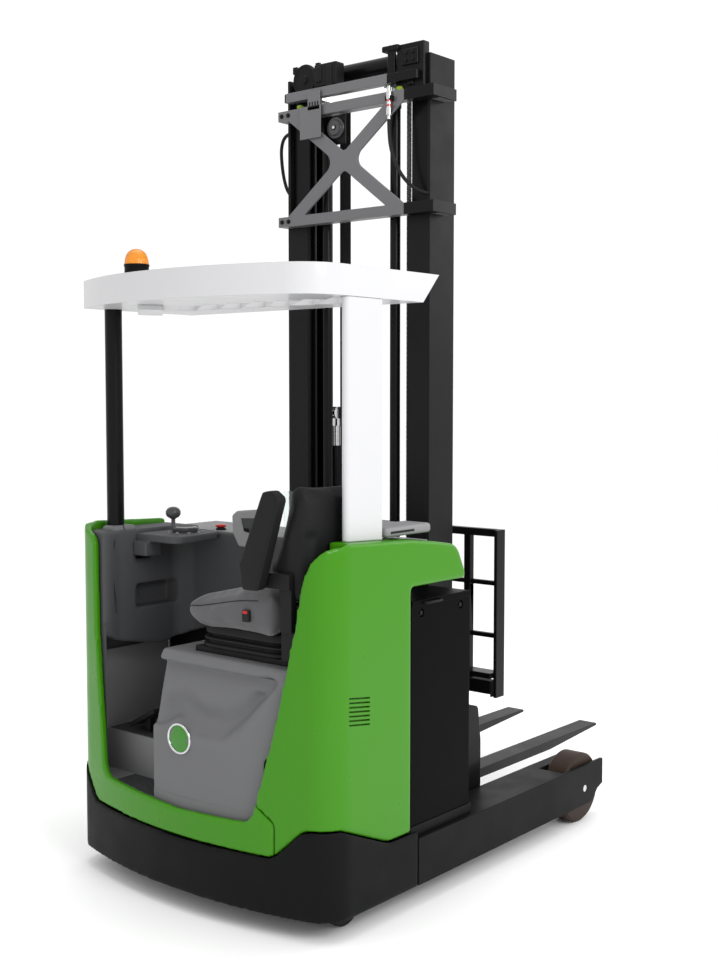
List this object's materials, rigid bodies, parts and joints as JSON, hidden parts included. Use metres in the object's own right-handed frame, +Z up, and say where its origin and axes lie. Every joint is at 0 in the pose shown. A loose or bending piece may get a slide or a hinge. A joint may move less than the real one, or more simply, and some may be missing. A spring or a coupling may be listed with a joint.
{
  "type": "reach truck",
  "caption": "Electric reach truck: outrigger legs, open cab with a sideways seat, battery and a reaching, telescoping mast with forks.",
  "frame": {"origin": "on the floor, under the middle of the whole truck's length and width", "axes": "+X towards the fork tips, +Y to the truck's left, +Z up"},
  "size_m": [2.5139, 1.27, 3.076],
  "materials": {
    "chassis_black": "satin dark paint",
    "bumper_black": "moulded black plastic",
    "body_green": "glossy green paint",
    "roof_white": "white paint",
    "post_black": "black paint",
    "amber_lens": "amber lens",
    "cab_grey": "textured grey moulding",
    "light_grey": "light grey moulding",
    "floor_mat": "ribbed mat",
    "rubber_black": "black rubber",
    "seat_black": "black seat plastic",
    "seat_fabric": "woven grey fabric",
    "clear_screen": "clear screen",
    "battery_black": "black steel case",
    "wheel_brown": "dark brown polyurethane",
    "bright_steel": "hard chromed",
    "mast_black": "gloss black paint",
    "mast_grey": "satin dark grey paint",
    "tie_silver": "silver grey paint",
    "chain_steel": "oiled chain",
    "fork_grey": "dark grey paint"
  },
  "bodies": {
    "chassis": {"leg_left": "chassis_black", "leg_right": "chassis_black", "load_axles": "bright_steel", "chassis_frame": "chassis_black", "bumper_skirt": "bumper_black", "panel_left": "body_green", "panel_right": "body_green", "roof": "roof_white", "pillar_right": "roof_white", "post_left": "post_black", "roof_lamp": "roof_white", "beacon_base": "bumper_black", "beacon_dome": "amber_lens", "dash_moulding": "cab_grey", "top_deck": "light_grey", "arm_console": "cab_grey", "steering_knob": "cab_grey", "display_pod": "light_grey", "seat_console": "cab_grey", "floor_steps": "floor_mat", "pedals": "rubber_black", "seat_base": "seat_black", "seat_cushion": "seat_fabric", "seat_back": "seat_fabric", "side_screen": "clear_screen", "battery": "battery_black"},
    "armrest": {"armrest": "seat_black"},
    "load_wheel_left": {"load_wheel_left": "wheel_brown"},
    "load_wheel_right": {"load_wheel_right": "wheel_brown"},
    "drive_unit": {"drive_unit": "chassis_black"},
    "drive_wheel": {"drive_wheel": "wheel_brown"},
    "castor_fork": {"castor_fork": "chassis_black"},
    "castor_wheel": {"castor_wheel": "rubber_black"},
    "outer_mast": {"reach_carriage": "mast_black", "mast_outer": "mast_grey", "mast_ties": "tie_silver", "lift_barrels": "mast_black"},
    "middle_mast": {"mast_middle": "mast_black", "lift_rods": "bright_steel", "lift_chains": "chain_steel"},
    "inner_mast": {"mast_inner": "mast_black", "free_lift_barrel": "mast_black"},
    "free_ram": {"free_lift_rod": "bright_steel"},
    "fork_carriage": {"lift_carriage": "mast_black"},
    "tilt_frame": {"tilt_frame": "mast_black"},
    "side_shift": {"shift_frame": "mast_black", "load_guard": "mast_black", "forks": "fork_grey"}
  },
  "joints": [
    {"name": "reach", "type": "slide", "parent": "chassis", "child": "outer_mast", "axis": [1, 0, 0], "range_m": [0, 0.56]},
    {"name": "mast_lift", "type": "slide", "parent": "outer_mast", "child": "middle_mast", "axis": [0, 0, 1], "range_m": [0, 2.2]},
    {"name": "inner_lift", "type": "slide", "parent": "middle_mast", "child": "inner_mast", "axis": [0, 0, 1], "range_m": [0, 2.2]},
    {"name": "carriage_lift", "type": "slide", "parent": "inner_mast", "child": "fork_carriage", "axis": [0, 0, 1], "range_m": [-0.14, 2.25]},
    {"name": "free_ram_lift", "type": "slide", "parent": "inner_mast", "child": "free_ram", "axis": [0, 0, 1], "range_m": [-0.07, 1.125]},
    {"name": "fork_tilt", "type": "hinge", "parent": "fork_carriage", "child": "tilt_frame", "pos_m": [-0.025, 0, 0.2], "axis": [0, -1, 0], "range_deg": [-2, 4]},
    {"name": "side_shift", "type": "slide", "parent": "tilt_frame", "child": "side_shift", "axis": [0, 1, 0], "range_m": [-0.075, 0.075]},
    {"name": "load_wheel_left_spin", "type": "hinge", "parent": "chassis", "child": "load_wheel_left", "pos_m": [0.475, 0.565, 0.1425], "axis": [0, 1, 0], "continuous": true},
    {"name": "load_wheel_right_spin", "type": "hinge", "parent": "chassis", "child": "load_wheel_right", "pos_m": [0.475, -0.565, 0.1425], "axis": [0, 1, 0], "continuous": true},
    {"name": "drive_steer", "type": "hinge", "parent": "chassis", "child": "drive_unit", "pos_m": [-0.955, -0.02, 0.1715], "axis": [0, 0, 1], "range_deg": [-90, 90]},
    {"name": "drive_wheel_spin", "type": "hinge", "parent": "drive_unit", "child": "drive_wheel", "pos_m": [-0.955, -0.02, 0.1715], "axis": [0, 1, 0], "continuous": true},
    {"name": "castor_swivel", "type": "hinge", "parent": "chassis", "child": "castor_fork", "pos_m": [-0.939, -0.523, 0.07], "axis": [0, 0, 1], "continuous": true},
    {"name": "castor_wheel_spin", "type": "hinge", "parent": "castor_fork", "child": "castor_wheel", "pos_m": [-0.955, -0.523, 0.07], "axis": [0, 1, 0], "continuous": true},
    {"name": "armrest_fold", "type": "hinge", "parent": "chassis", "child": "armrest", "pos_m": [-1.175, -0.325, 1.17], "axis": [-1, 0, 0], "range_deg": [0, 105]}
  ],
  "couplings": [
    {"joint": "inner_lift", "follows": "mast_lift", "ratio": 1},
    {"joint": "free_ram_lift", "follows": "carriage_lift", "ratio": 0.5}
  ]
}
